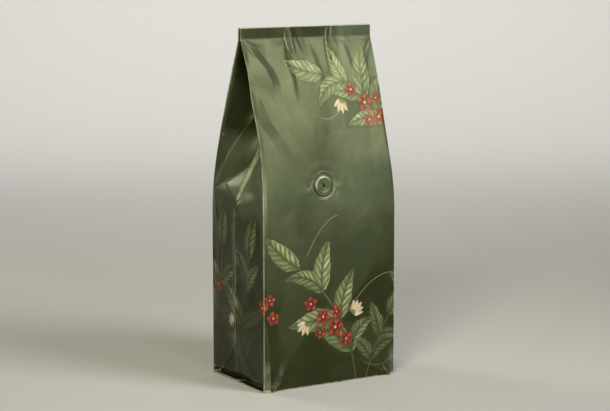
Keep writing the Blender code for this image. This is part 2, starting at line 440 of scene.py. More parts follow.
def soften(grid, passes):
    """Rounds creases: each pass mixes a value with its four neighbours on the grid."""
    for _ in range(passes):
        padded = np.pad(grid, 1, mode="edge")
        sides = padded[:-2, 1:-1] + padded[2:, 1:-1] + padded[1:-1, :-2] + padded[1:-1, 2:]
        grid = 0.5 * grid + 0.125 * sides
    return grid


def foot_tuck(across, z):
    """The factory fold at the foot: an upside-down V whose inside leans back from its ridge."""
    line = 35.0 - 44.0 * np.abs(across)
    below = line - z
    return 0.06 * np.clip(below, 0, 30) - 0.45 * bump(below, 1.6) * smooth(line / 8)


def recess(across, z):
    """Depth of the hollow above the base rim, from a quarter-round down. The corners stay out."""
    rest = np.clip((RECESS_TOP + RECESS_ROUND - z) / RECESS_ROUND, 0, 1)
    inside = np.sqrt(np.clip((1 - np.abs(across)) / 0.07, 0, 1))
    return RECESS_DEPTH * (1 - np.sqrt(1 - rest**2)) * inside


GUSSET_RIDGES = {
    # Long creases of the upper gusset, placed as in GUSSET_FOLDS
    -1: [
        (11, 4.5, ((12.0, 228, 0.0), (15.4, 213, 0.9), (21.0, 200, 1.4), (26.5, 187, 1.5), (33.3, 172, 1.0), (39, 161, 0.3))),
        (2, 2, ((5.0, 181, 0.0), (15.4, 172.4, -0.5), (23.9, 167.9, -0.6), (32.9, 162.5, -0.6), (40.0, 158.6, 0.0))),
        (5, 3, ((30.0, 240, 0.0), (34.0, 224, 0.7), (37.5, 205, 0.8), (40.0, 186, 0.3), (41.0, 176, 0.0))),
        (9, 9, ((27.0, 150, 0.0), (29.0, 126, 0.5), (31.0, 96, 0.4), (32.0, 60, 0.0))),
        (9, 12, ((-20.0, 140, 0.0), (-21.0, 112, 0.45), (-20.0, 74, 0.4), (-20.0, 40, 0.0))),
    ],
    1: [
        (3.5, 10, ((12.0, 226, 0.0), (15.0, 212, 0.7), (22.0, 198, 1.2), (28.0, 184, 1.2), (34.0, 171, 0.7), (39, 161, 0.2))),
        (5, 3, ((-26.0, 242, 0.0), (-31.0, 222, 0.8), (-35.0, 204, 0.7), (-38.0, 180, 0.0))),
        (6, 4, ((16.0, 144, 0.0), (14.0, 122, 0.7), (13.0, 90, 0.6), (13.0, 60, 0.0))),
        (5, 7, ((-18.0, 138, 0.0), (-17.0, 108, 0.6), (-19.0, 66, 0.0))),
    ],
}
GUSSET_FOLDS = {
    # across (back half positive, in mm from the centre crease), height; the bag's left gusset
    -1: [
        (30.0, 190.0, 8.0, 184.0, 2.0, 2.6, 0.6),
        (42.0, 207.0, 22.0, 196.0, 2.5, 3.0, 0.7),
        (42.0, 223.0, 28.0, 218.0, 1.6, 1.8, 0.45),
        (26.0, 166.0, 9.0, 156.0, 4.0, 4.0, 0.5),
        (38.0, 158.0, 30.0, 120.0, 5.0, 6.0, 0.7),
        (2.0, 147.0, 10.0, 116.0, 5.0, 6.0, -0.35),
        (-3.0, 147.0, -18.0, 126.0, 6.0, 5.0, -0.3),
        (-5.0, 38.0, -2.0, 8.0, 2.4, 2.0, 0.25),
        (36.0, 22.0, 40.0, 4.0, 2.0, 2.0, 0.5),
        (30.0, 30.0, 24.0, 8.0, 2.0, 2.5, -0.35),
    ],
    1: [
        (34.0, 186.0, 12.0, 180.0, 2.2, 2.4, 0.55),
        (42.0, 214.0, 20.0, 204.0, 2.5, 3.0, 0.6),
        (-40.0, 196.0, -18.0, 188.0, 2.5, 3.0, 0.6),
        (-36.0, 160.0, -26.0, 122.0, 6.0, 5.0, 0.6),
        (3.0, 146.0, 12.0, 112.0, 4.0, 5.0, -0.5),
        (-2.0, 146.0, -14.0, 116.0, 5.0, 4.0, -0.45),
        (5.0, 38.0, 3.0, 8.0, 1.5, 1.8, 0.4),
        (-6.0, 36.0, -3.0, 8.0, 1.6, 1.4, 0.4),
        (-36.0, 24.0, -40.0, 4.0, 2.0, 2.0, 0.5),
    ],
}


def gusset_depth(across, z, side):
    """How far the gusset lies inside the bag's side, across running from -1 (front) to 1 (back)."""
    pinch = 4.0 if side < 0 else 3.2
    tilt = 0.0 if side < 0 else 2.5
    behind = back_half_depth(np.abs(across), z - tilt, pinch)
    ahead = front_half_depth(np.abs(across), z - tilt, pinch)
    folded = np.where(across > 0, behind, ahead)
    shelf = KNOT + (SHOULDER - KNOT) * np.abs(across) + 1.0
    open_film = np.where(across > 0, np.sin(np.pi * np.clip(np.abs(across) * 1.04, 0, 1)) ** 0.7, smooth(-across / 0.12))
    round_off = bump(z - tilt - shelf, 7.0) * open_film
    folded = soften(folded, 2) * (1 - round_off) + soften(folded, 40) * round_off
    off_strip = smooth((across - 0.14) / 0.14) * smooth((z - tilt - 162) / 12)
    folded = folded * (1 - off_strip) + soften(folded, 7) * off_strip
    rising = np.sin(np.pi / 2 * np.clip(z / KNOT, 0, 1))
    falling = np.clip((z - KNOT) / BELLY_FADE, 0, 1)
    belly = BELLY * rising * (1 - falling) ** 2 * (1 - across**2)
    share = np.clip((z - KNOT) / (SEAL_FOOT - KNOT), 0, 1)
    pillow = PILLOW * np.sin(np.pi * share**0.6) * np.sin(np.pi * (1 - np.abs(across)))
    seed = 50 + side
    place = across * DEPTH / 2
    marks = pleats(place, z, GUSSET_FOLDS[side]) + ridges(place, z, GUSSET_RIDGES[side])
    marks = marks + crumple(place, z, (0.0, KNOT), 18.0, 0.28, 12, seed)
    marks = marks + crumple(place, z, (40.0, SHOULDER), 18.0, 0.5, 14, seed + 4)
    marks = marks + crumple(place, z, (-40.0, SHOULDER), 16.0, 0.25, 10, seed + 8)
    marks = marks + crumple(place, z, (38.0, 12.0), 18.0, 0.3, 6, seed + 12)
    marks = marks + crumple(place, z, (-38.0, 12.0), 18.0, 0.3, 6, seed + 16)
    marks = marks + swell(place, z, (74.0, 47.0), 0.4, seed + 20)
    marks = soften(marks, 2) * smooth((1 - np.abs(across)) / 0.08) * smooth((SEAL_FOOT - z) / 30)
    flank = np.where(place < 0, 2.2, 7.0)
    ridge = 1.2 * np.clip(1 - np.abs(place) / flank, 0, 1) * smooth((KNOT - z) / 5) * smooth(z / 12)
    foot = foot_tuck(across, z) * smooth((40 - z) / 8)
    return folded + foot + recess(across, z) - belly - pillow - marks - ridge


# ------------------------------------------------------------------ sheets round the bag
def row_heights():
    """Heights of the film's rows: close together where it folds, wider on the plain block."""
    foot = [0.02, 0.2, 0.5, 0.9, 1.5, 2.6, 3.9, 5.2]
    turn = np.linspace(0, np.pi / 2, 9)
    curl = RECESS_TOP + RECESS_ROUND - RECESS_ROUND * np.sin(turn[:-1])
    block = np.arange(RECESS_TOP + RECESS_ROUND + 1.2, 138.0, 1.35)
    shoulder = np.arange(138.0, 238.0, 0.85)
    neck = np.arange(238.0, SEAL_FOOT - 1.0, 0.95)
    band = np.linspace(SEAL_FOOT - 1.0, HEIGHT, 16)
    return np.unique(np.concatenate([foot, curl, block, shoulder, neck, band]).round(3))


def lip_fold(z):
    """Distance between a panel's fold and the gusset's side of it."""
    return LOWER_FOLD + (UPPER_FOLD - LOWER_FOLD) * lean(z)


def front_sheet(z, columns=150):
    """Front panel, left to right: its edge line, less its crown, the seal's press and the relief."""
    share, z = np.meshgrid(np.linspace(-1, 1, columns), z)
    x = share * (half_width(z) - CORNER)
    fade = smooth((1 - np.abs(share)) * WIDTH / 2 / 2.5)
    out = crowned(share, z, FRONT_CROWN) - pressed_in(share, z) + fade * front_relief(x, z)
    return np.stack([x, front_edge(share, z) - out, z], -1)


def back_sheet(z, columns=130):
    """Back panel, from the bag's right to its left, made as the front one is."""
    share, z = np.meshgrid(np.linspace(1, -1, columns), z)
    x = share * (half_width(z, BACK_INSET) - CORNER)
    fade = smooth((1 - np.abs(share)) * WIDTH / 2 / 2.5)
    out = crowned(share, z, BACK_CROWN) - pressed_in(share, z) + fade * back_relief(x, z)
    return np.stack([x, back_edge(share, z) + out, z], -1)


def gusset_sheet(z, side, columns=138):
    """One gusset between the folds of the two panels; side is -1 for the left and 1 for the right."""
    across, z = np.meshgrid(np.linspace(-1, 1, columns) * side, z)
    near = front_edge(side, z) + lip_fold(z)
    far = back_edge(side, z) - lip_fold(z)
    rearward = (1 + across) / 2
    width = half_width(z) * (1 - rearward) + half_width(z, BACK_INSET) * rearward
    x = side * (width - CORNER * lean(z) - gusset_depth(across, z, side))
    turned = twist(x / width, z) - twist(side, z)
    return np.stack([x, (near + far) / 2 + across * (far - near) / 2 + turned, z], -1)


def corner_arc(before, after, steps=9):
    """Round corner between two sheets: a cubic curve that leaves each along its own film."""
    start, end = before[:, -1], after[:, 0]
    out = start - before[:, -2]
    into = after[:, 1] - end
    reach = 0.5 * np.linalg.norm(end - start, axis=1, keepdims=True)
    out = start + reach * out / np.linalg.norm(out, axis=1, keepdims=True)
    into = end - reach * into / np.linalg.norm(into, axis=1, keepdims=True)
    t = np.linspace(0, 1, steps)[None, :, None]
    a, b, c, d = (p[:, None, :] for p in (start, out, into, end))
    return a * (1 - t) ** 3 + 3 * b * t * (1 - t) ** 2 + 3 * c * t**2 * (1 - t) + d * t**3


def wrap(sheets):
    """Joins neighbouring sheets by round corners, each of which is shared at its middle."""
    arcs = [corner_arc(sheet, sheets[(i + 1) % 4]) for i, sheet in enumerate(sheets)]
    middle = arcs[0].shape[1] // 2
    return [
        np.concatenate([arcs[i - 1][:, middle:-1], sheet, arcs[i][:, 1 : middle + 1]], axis=1)
        for i, sheet in enumerate(sheets)
    ]


def normals_of(grid):
    """Unit normals of a grid of points: the cross product of its two directions."""
    across = np.gradient(grid, axis=1)
    up = np.gradient(grid, axis=0)
    normal = np.cross(across, up)
    return normal / np.maximum(np.linalg.norm(normal, axis=-1, keepdims=True), 1e-9)


def crease_marks(grid):
    """How sharply the film bends at each point, from 0 on flat film to 1 on a hard crease."""
    normal = normals_of(grid)
    bend = np.zeros(grid.shape[:2])
    for axis in (0, 1):
        turned = np.linalg.norm(np.gradient(normal, axis=axis), axis=-1)
        step = np.linalg.norm(np.gradient(grid, axis=axis), axis=-1)
        bend = np.maximum(bend, turned / np.maximum(step, 0.3))
    return soften(np.clip((bend - 0.06) / 0.34, 0, 1), 1)


def shell_faces(rows, columns):
    """Faces of a closed shell: the outer grid, the inner grid turned round, and a rim on each side."""
    index = np.arange(rows * columns).reshape(rows, columns)
    inner = index + rows * columns

    def quads(a, b, c, d):
        return np.stack([a.ravel(), b.ravel(), c.ravel(), d.ravel()], -1)

    low, high = slice(None, -1), slice(1, None)
    return np.concatenate(
        [
            quads(index[low, low], index[low, high], index[high, high], index[high, low]),
            quads(inner[low, low], inner[high, low], inner[high, high], inner[low, high]),
            quads(index[0, high], index[0, low], inner[0, low], inner[0, high]),
            quads(index[-1, low], index[-1, high], inner[-1, high], inner[-1, low]),
            quads(index[low, 0], index[high, 0], inner[high, 0], inner[low, 0]),
            quads(index[high, -1], index[low, -1], inner[low, -1], inner[high, -1]),
        ]
    )


def new_piece(name, points, faces, material, marks, sharp=50):
    """A mesh object from drawn points in millimetres, with its print, wear, painted highlights and painted shade as
    attributes.
    """
    mesh = bpy.data.meshes.new(name)
    mesh.from_pydata(to_metres(points).tolist(), [], faces.tolist())
    for title, values in marks.items():
        kind, key = ("FLOAT_VECTOR", "vector") if values.ndim == 2 else ("FLOAT", "value")
        layer = mesh.attributes.new(title, kind, "POINT")
        layer.data.foreach_set(key, values.astype(np.float32).ravel())
    mesh.polygons.foreach_set("use_smooth", np.ones(len(faces), bool))
    mesh.set_sharp_from_angle(angle=math.radians(sharp))
    mesh.materials.append(material)
    mesh.validate()
    piece = bpy.data.objects.new(name, mesh)
    bpy.context.scene.collection.objects.link(piece)
    return piece


def shell_piece(name, grid, marks, material, thickness=FILM):
    """A sheet of film: the grid, and the same grid moved inward by the film's thickness."""
    inner = grid - normals_of(grid) * thickness
    points = np.concatenate([grid.reshape(-1, 3), inner.reshape(-1, 3)])
    both = {}
    for title, values in marks.items():
        flat = values.reshape(-1, *values.shape[2:])
        both[title] = np.concatenate([flat, flat])
    rows, columns = grid.shape[:2]
    lining = np.concatenate([np.zeros(rows * columns), np.ones(rows * columns)])
    both["lining"] = lining
    return new_piece(name, points, shell_faces(rows, columns), material, both)


# ------------------------------------------------------------------ the print, laid out on flat film
# Film places run round the bag from the middle of the front panel (0), to the right as positive,
# and up from the base. The back panel has its own places, from its own middle.
RIGHT_GUSSET = WIDTH / 2 + DEPTH / 2


def curved(start, bend, end, steps):
    """Points on a stem: a quadratic curve from start to end, drawn towards bend."""
    t = np.linspace(0, 1, steps)[:, None]
    return np.array(start) * (1 - t) ** 2 + 2 * np.array(bend) * t * (1 - t) + np.array(end) * t**2


def frond(start, bend, end, pairs, length, width, tone):
    """The leaflets of one frond: pairs on both sides of a curved stem, and one at its tip.

    A leaflet is (foot u, foot v, heading, length, width, bend, tone).
    """
    stem = curved(start, bend, end, pairs + 2)
    leaflets = []
    for i in range(1, pairs + 1):
        ahead = stem[min(i + 1, pairs + 1)] - stem[i - 1]
        heading = math.atan2(ahead[1], ahead[0])
        size = 1.0 - 0.5 * abs(i / (pairs + 1) - 0.42)
        for side in (-1, 1):
            spread = math.radians(60 - 5 * i + 15 * math.sin(3.1 * i + side + start[0]))
            grown = size * (1 + 0.17 * math.sin(5.3 * i + 2 * side + start[0]))
            shade = tone + 0.2 * math.sin(4.1 * i + 1.7 * side)
            turn = heading + side * spread
            bent = -0.10 * side * (1 + 0.8 * math.sin(2.3 * i + side))
            leaflets.append((*stem[i], turn, length * grown, width * grown, bent, shade))
    ahead = stem[-1] - stem[-2]
    tip = math.atan2(ahead[1], ahead[0])
    leaflets.append((*stem[-1], tip, 0.9 * length, width, 0.05, tone))
    return leaflets


def leaf_field(u, v, leaflets, fullness=0.72):
    """For each point, the leaflet that covers it: how far inside its outline, how far along it from
    foot to tip, how far across its midrib, and its tone. Outside, the inset is negative."""
    inset = np.full(u.shape, -40.0)
    along = np.zeros(u.shape)
    across = np.zeros(u.shape)
    tone = np.zeros(u.shape)
    for foot_u, foot_v, heading, length, width, bend, shade in leaflets:
        go_u, go_v = math.cos(heading), math.sin(heading)
        way = ((u - foot_u) * go_u + (v - foot_v) * go_v) / length
        held = np.clip(way, 0, 1)
        off = (v - foot_v) * go_u - (u - foot_u) * go_v - bend * length * 4 * held * (1 - held)
        half = width / 2 * np.sin(np.pi * held**fullness) ** 0.9
        inside = half - np.abs(off) - length * (np.clip(-way, 0, None) + np.clip(way - 1, 0, None))
        nearer = inside > inset
        inset = np.where(nearer, inside, inset)
        along = np.where(nearer, held, along)
        across = np.where(nearer, off / (width / 2), across)
        tone = np.where(nearer, shade, tone)
    return inset, along, across, tone


def blossom_field(u, v, blossoms):
    """Round five-petalled blossoms: inset from the outline, share of the radius, and which part of
    a petal, from -1 between two petals to 1 along one's middle."""
    inset = np.full(u.shape, -40.0)
    share = np.ones(u.shape)
    petal = np.zeros(u.shape)
    for middle_u, middle_v, radius, turn in blossoms:
        away = np.hypot(u - middle_u, v - middle_v)
        part = np.cos(5 * (np.arctan2(v - middle_v, u - middle_u) - turn))
        inside = radius * (0.86 + 0.14 * part) - away
        nearer = inside > inset
        inset = np.where(nearer, inside, inset)
        share = np.where(nearer, away / radius, share)
        petal = np.where(nearer, part, petal)
    return inset, share, petal


def stem_field(u, v, stems):
    """Signed distance to the nearest of several curved stems, positive on their left."""
    nearest = np.full(u.shape, 40.0)
    for start, bend, end in stems:
        points = curved(start, bend, end, 22)
        for (u0, v0), (u1, v1) in zip(points[:-1], points[1:]):
            run_u, run_v = u1 - u0, v1 - v0
            run = run_u**2 + run_v**2
            way = np.clip(((u - u0) * run_u + (v - v0) * run_v) / run, 0, 1)
            away = np.hypot(u - u0 - way * run_u, v - v0 - way * run_v)
            side = np.where((v - v0) * run_u - (u - u0) * run_v >= 0, 1.0, -1.0)
            nearest = np.where(away < np.abs(nearest), side * away, nearest)
    return nearest


def buds_on(stem_end, heading, count, length):
    """A fan of teardrop buds at the end of a stem."""
    spread = np.linspace(-0.75, 0.75, count)
    return [
        (*stem_end, heading + turn, length * (1 - 0.18 * abs(turn)), length * 0.42, 0.0, 0.5)
        for turn in spread
    ]


FRONT_STEMS = [
    ((67, 192), (54, 246), (8, 254)),
    ((26, -6), (18, 62), (-32, 100)),
    ((34, -6), (40, 30), (58, 52)),
    ((-92, -10), (-104, 52), (-85, 108)),
    ((-150, 10), (-137, 62), (-130, 112)),
    ((96, -6), (88, 60), (106, 122)),
    ((150, 30), (134, 84), (122, 132)),
]
FRONT_LEAVES = (
    frond(*FRONT_STEMS[0], 3, 43, 16.5, 0.15)
    + frond(*FRONT_STEMS[1], 3, 45, 17.0, 0.4)
    + frond(*FRONT_STEMS[2], 2, 32, 12.5, 0.75)
    + frond(*FRONT_STEMS[3], 3, 42, 15.5, 0.8)
    + frond(*FRONT_STEMS[4], 2, 40, 15.0, 0.9)
    + frond(*FRONT_STEMS[5], 3, 42, 15.5, 0.7)
    + frond(*FRONT_STEMS[6], 2, 40, 15.0, 0.8)
)
FRONT_BLOSSOMS = [
    (45, 230, 7.4, 0.2),
    (57, 218, 6.8, 0.9),
    (33, 241, 5.8, 0.5),
    (47, 216, 5.4, 0.0),
    (57, 233, 5.0, 0.3),
    (3, 48, 8.0, 0.1),
    (14, 37, 6.8, 0.7),
    (-9, 58, 6.6, 1.1),
    (4, 61, 5.4, 0.6),
    (-21, 70, 6.0, 0.4),
    (-12, 45, 5.0, 0.9),
    (-66, 70, 6.4, 0.0),
    (-55, 61, 5.6, 0.5),
    (-58, 76, 4.8, 0.2),
    (-138, 78, 7.0, 0.6),
    (104, 92, 7.0, 0.3),
]
FRONT_BUDS = (
    buds_on((22, 233), -1.9, 4, 12)
    + buds_on((20, 58), 0.7, 5, 13)
    + buds_on((-24, 54), -2.3, 4, 12)
    + buds_on((-112, 48), 2.2, 4, 12)
    + buds_on((118, 60), 0.9, 4, 12)
)
FRONT_TENDRILS = [
    ((16, 60), (40, 92), (66, 88)),
    ((-24, 110), (-10, 138), (4, 141)),
    ((26, 234), (12, 214), (-2, 220)),
    ((34, 14), (52, 4), (66, 22)),
]
FRONT_SHADOWS = [
    (60, 250, 3.7, 78, 30, 0.06, 0),
    (26, 262, 4.3, 64, 24, -0.05, 0),
    (40, 128, 4.1, 84, 34, 0.05, 0),
    (-40, 30, 1.3, 80, 30, 0.05, 0),
    (62, 4, 2.4, 70, 28, -0.06, 0),
    (-100, 140, 4.6, 90, 34, 0.05, 0),
    (-136, 50, 1.2, 80, 30, 0.0, 0),
    (110, 150, 4.8, 90, 34, 0.05, 0),
]

BACK_STEMS = [
    ((-40, -6), (-54, 66), (-18, 112)),
    ((44, -6), (54, 56), (30, 104)),
    ((-66, 256), (-30, 262), (-2, 226)),
    ((66, 176), (46, 210), (24, 202)),
]
BACK_LEAVES = (
    frond(*BACK_STEMS[0], 3, 44, 16.5, 0.4)
    + frond(*BACK_STEMS[1], 3, 40, 15.0, 0.65)
    + frond(*BACK_STEMS[2], 2, 40, 15.5, 0.25)
    + frond(*BACK_STEMS[3], 1, 36, 14.0, 0.6)
)
BACK_BLOSSOMS = [
    (-46, 62, 8.0, 0.2),
    (-34, 76, 6.8, 0.8),
    (46, 58, 7.4, 0.5),
    (-28, 250, 7.0, 0.4),
    (42, 200, 6.8, 0.9),
]
BACK_BUDS = buds_on((-28, 60), 0.4, 4, 13) + buds_on((34, 76), 2.4, 4, 12) + buds_on((-6, 242), 0.3, 4, 12)
BACK_TENDRILS = [
    ((-18, 112), (8, 146), (34, 126)),
    ((-28, 60), (2, 60), (8, 34)),
    ((-2, 226), (-6, 202), (-30, 194)),
]
BACK_SHADOWS = [
    (-10, 150, 4.2, 84, 32, 0.05, 0),
    (50, 150, 4.4, 80, 30, -0.05, 0),
    (-50, 220, 4.9, 80, 30, 0.05, 0),
    (10, 30, 1.5, 80, 30, 0.05, 0),
]


def film_marks(grid, places, leaves, blossoms, buds, stems, tendrils, shadows):
    """All marks of one sheet: its print on flat film, its edges, how hard it is creased, and its painted highlights and
    painted shade.
    """
    u, v = np.meshgrid(places, grid[:, 0, 2])
    leaf_inset, along, across, tone = leaf_field(u, v, leaves)
    bud_inset, bud_along, bud_across, _ = leaf_field(u, v, buds, 0.6)
    shadow_inset = leaf_field(u, v, shadows)[0]
    to_fold = np.minimum(u - places.min(), places.max() - u)
    stem = stem_field(u, v, stems)
    tendril = stem_field(u, v, tendrils)
    return {
        "leaf": np.stack([leaf_inset, along, across], -1),
        "blossom": np.stack(blossom_field(u, v, blossoms), -1),
        "bud": np.stack([bud_inset, bud_along, bud_across], -1),
        "stem": np.stack([stem, tendril, tone], -1),
        "highlight_and_wear": np.stack([to_fold, HEIGHT - v, np.maximum(crease_marks(grid), painted_glints(u, v, to_fold))], -1),
        "shadow": shadow_inset,
        "painted_shade": painted_shade(u, v, np.abs(places).max() > WIDTH / 2 + 1),
    }


def painted_glints(u, v, to_fold):
    """Painted highlights: the bottom corners, the panels' film beside them, and the pinched strips beside
    the gussets' centre creases."""
    corner = smooth((6.5 - to_fold) / 2) * smooth((3.4 - v) / 1.6)
    rearward = np.abs(u) - RIGHT_GUSSET
    strip = smooth(rearward / 0.5) * smooth((2.7 - rearward) / 0.6) * smooth((v - 149) / 5) * smooth((196 - v) / 14)
    foot = 0.74 * smooth((6.2 - to_fold) / 1.4) * smooth((50 - v) / 34) * (np.abs(u) < WIDTH / 2)
    return np.maximum(np.maximum(1.2 * corner, 1.3 * strip), foot)


def painted_shade(u, v, on_gusset):
    """How much painted shade darkens the film: 0 leaves its lightest olive, 1 gives deep olive, and past 1
    all of the print darkens towards 2. The painted shade deepens towards the foot, in the gussets, in the recess and in
    the seal band."""
    dark = 1.4 - 1.4 * smooth((v + 10) / 215)
    if on_gusset:
        # Painted shade in the gussets: darker below the knot, near black in the folded upper part
        inward = smooth((DEPTH / 2 - np.abs(np.abs(u) - RIGHT_GUSSET)) / 9)
        low = 0.65 * smooth((149 - v) / 18)
        high = 1.9 * smooth((v - 190) / 40)
        rearward = np.abs(u) - RIGHT_GUSSET
        # A lighter band just behind the centre crease: painted light
        low = low - 0.85 * bump(rearward - 6.0, 5.0) * smooth((146 - v) / 20) * smooth((v - 10) / 50)
        dark = dark + inward * np.maximum(low, high)
        # Painted shade in the recess above the base rim, and a painted dark line along the centre crease beside the
        # pinched strip
        painted_dark = smooth((RECESS_TOP + RECESS_ROUND - v) / 2.0) * smooth((DEPTH / 2 - np.abs(np.abs(u) - RIGHT_GUSSET)) / 3)
        beside = 0.9 * bump(rearward + 1.0, 0.9) * smooth((v - 150) / 8) * smooth((196 - v) / 12)
        return np.clip(dark + 2.0 * painted_dark + beside, 0, 2)
    # Painted shade on the panels: the upper part left of the middle, a patch at the upper left, the lower right, the
    # foot and most of the seal band
    dark = dark + 0.3 * smooth((24 - u) / 30) * smooth((v - 165) / 30) * below_seal(v) + 0.45 * bump(u + 20, 22) * bump(v - 202, 24)
    dark = dark + 0.25 * smooth((u - 10) / 40) * bump(v - 60, 50)
    dark = dark + 0.12 * smooth((90 - v) / 80) + 0.75 * smooth((v - SEAL_FOOT) / 1.5) * smooth((40 - u) / 30)
    return np.clip(dark, 0, 1.6)


def places_round(main, first, last, arc=4):
    """Film places of a sheet's columns, with those of its two half corners added."""
    before = np.linspace(first, main[0], arc + 1)[:-1]
    after = np.linspace(main[-1], last, arc + 1)[1:]
    return np.concatenate([before, main, after])


# ------------------------------------------------------------------ finishes
def paint(red, green, blue):
    """A colour given by its display values, 0 to 255, as linear numbers."""
    values = np.array([red, green, blue]) / 255
    linear = np.where(values > 0.04045, ((values + 0.055) / 1.055) ** 2.4, values / 12.92)
    return (*(float(value) for value in linear), 1.0)


class Finish:
    """A material, with short calls for the nodes that it is put together from."""

    def __init__(self, name):
        self.material = bpy.data.materials.new(name)
        self.material.use_nodes = True
        self.tree = self.material.node_tree
        self.shader = self.tree.nodes["Principled BSDF"]

    def node(self, kind, **settings):
        made = self.tree.nodes.new(kind)
        for key, value in settings.items():
            setattr(made, key, value)
        return made

    def plug(self, socket, value):
        if isinstance(value, bpy.types.NodeSocket):
            self.tree.links.new(value, socket)
        else:
            socket.default_value = value

    def set(self, **sockets):
        for title, value in sockets.items():
            self.plug(self.shader.inputs[title.replace("_", " ")], value)

    def math(self, operation, first, second=0.0):
        made = self.node("ShaderNodeMath", operation=operation)
        self.plug(made.inputs[0], first)
        self.plug(made.inputs[1], second)
        return made.outputs[0]

    def band(self, value, low, high, start=0.0, end=1.0):
        """Runs smoothly from start to end while the value runs from low to high."""
        made = self.node("ShaderNodeMapRange", interpolation_type="SMOOTHSTEP")
        for title, number in (("Value", value), ("From Min", low), ("From Max", high), ("To Min", start), ("To Max", end)):
            self.plug(made.inputs[title], number)
        return made.outputs["Result"]

    def mix(self, share, first, second):
        made = self.node("ShaderNodeMix", data_type="RGBA")
        self.plug(made.inputs[0], share)
        self.plug(made.inputs[6], first)
        self.plug(made.inputs[7], second)
        return made.outputs[2]

    def mark(self, title):
        """The three numbers of a vector mark."""
        read = self.node("ShaderNodeAttribute", attribute_name=title)
        parts = self.node("ShaderNodeSeparateXYZ")
        self.plug(parts.inputs[0], read.outputs["Vector"])
        return parts.outputs[0], parts.outputs[1], parts.outputs[2]

    def single(self, title):
        return self.node("ShaderNodeAttribute", attribute_name=title).outputs["Fac"]

    def noise(self, size, detail=3.0, stretch=(1, 1, 1), roughness=0.55):
        """Noise on Object coordinates with features of about this size in millimetres."""
        place = self.node("ShaderNodeTexCoord")
        mapping = self.node("ShaderNodeMapping")
        mapping.inputs["Scale"].default_value = stretch
        self.plug(mapping.inputs["Vector"], place.outputs["Object"])
        made = self.node("ShaderNodeTexNoise")
        self.plug(made.inputs["Vector"], mapping.outputs[0])
        made.inputs["Scale"].default_value = 1000 / size
        made.inputs["Detail"].default_value = detail
        made.inputs["Roughness"].default_value = roughness
        return made.outputs["Fac"]

    def bumps(self, height, strength, distance):
        made = self.node("ShaderNodeBump")
        made.inputs["Strength"].default_value = strength
        made.inputs["Distance"].default_value = distance
        self.plug(made.inputs["Height"], height)
        self.plug(self.shader.inputs["Normal"], made.outputs[0])


OLIVE = paint(84, 92, 70)
OLIVE_DEEP = paint(60, 68, 49)
OLIVE_PALE = paint(108, 114, 91)
SHADE_GREEN = paint(44, 52, 34)
SHEEN = (0.92, 1.0, 0.52, 1.0)


def wavering(finish, low, high):
    """Patchy share of wear and painted highlight between two noise levels."""
    return finish.band(finish.noise(7.0, 4.0), low, high)


def add_leaves(finish, colour):
    """Leaflets quilted between slanting veins, one half in shade, each with a soft shadow."""
    inset, along, across = finish.mark("leaf")
    _, _, tone = finish.mark("stem")
    ragged = finish.band(finish.noise(4.5, 2.0), 0.25, 0.75, -0.7, 0.7)
    inset = finish.math("ADD", inset, ragged)
    light = finish.mix(tone, paint(186, 190, 146), paint(118, 128, 74))
    dark = finish.mix(tone, paint(86, 98, 62), paint(36, 46, 25))
    wobble = finish.math("MULTIPLY", finish.noise(11.0, 2.0), 1.1)
    slant = finish.math("MULTIPLY", finish.math("ABSOLUTE", across), 1.7)
    veins = finish.math("SUBTRACT", finish.math("MULTIPLY", along, 6.5), slant)
    wave = finish.math("SINE", finish.math("MULTIPLY", finish.math("ADD", veins, wobble), 2 * math.pi))
    half_way = finish.math("ABSOLUTE", finish.math("SUBTRACT", finish.math("ABSOLUTE", across), 0.48))
    belly = finish.math("MULTIPLY", finish.band(wave, -1.0, 1.0, 0.15, 1.0), finish.band(half_way, 0.5, 0.05, 0.3, 1.0))
    blotch = finish.band(finish.noise(8.0, 5.0), 0.36, 0.64, 0.45, 1.0)
    shade = finish.band(across, -0.2, 0.35, 1.0, 0.55)
    ends = finish.math("MULTIPLY", finish.band(along, 1.0, 0.55, 0.35, 1.0), finish.band(along, 0.0, 0.3, 0.45, 1.0))
    lit = finish.math("MULTIPLY", finish.math("MULTIPLY", belly, shade), finish.math("MULTIPLY", blotch, ends))
    body = finish.mix(lit, dark, light)
    groove = finish.band(finish.math("ABSOLUTE", across), 0.0, 0.2, 0.75, 0.0)
    body = finish.mix(groove, body, finish.mix(tone, paint(60, 70, 42), paint(28, 36, 20)))
    rim = finish.math("MULTIPLY", finish.band(inset, 0.1, 0.8, 0.55, 0.0), finish.band(across, -0.5, 0.3, 1.0, 0.1))
    body = finish.mix(rim, body, finish.mix(tone, paint(178, 182, 142), paint(122, 130, 84)))
    halo = finish.band(inset, -4.5, -0.1, 0.0, 0.5)
    colour = finish.mix(halo, colour, SHADE_GREEN)
    return finish.mix(finish.band(inset, -0.25, 0.25), colour, body)


def add_stems(finish, colour):
    stem, tendril, _ = finish.mark("stem")
    woody = finish.band(finish.math("ABSOLUTE", stem), 0.35, 0.75, 0.9, 0.0)
    colour = finish.mix(woody, colour, paint(104, 84, 56))
    thin = finish.band(finish.math("ABSOLUTE", tendril), 0.12, 0.42, 0.7, 0.0)
    return finish.mix(thin, colour, paint(140, 142, 104))


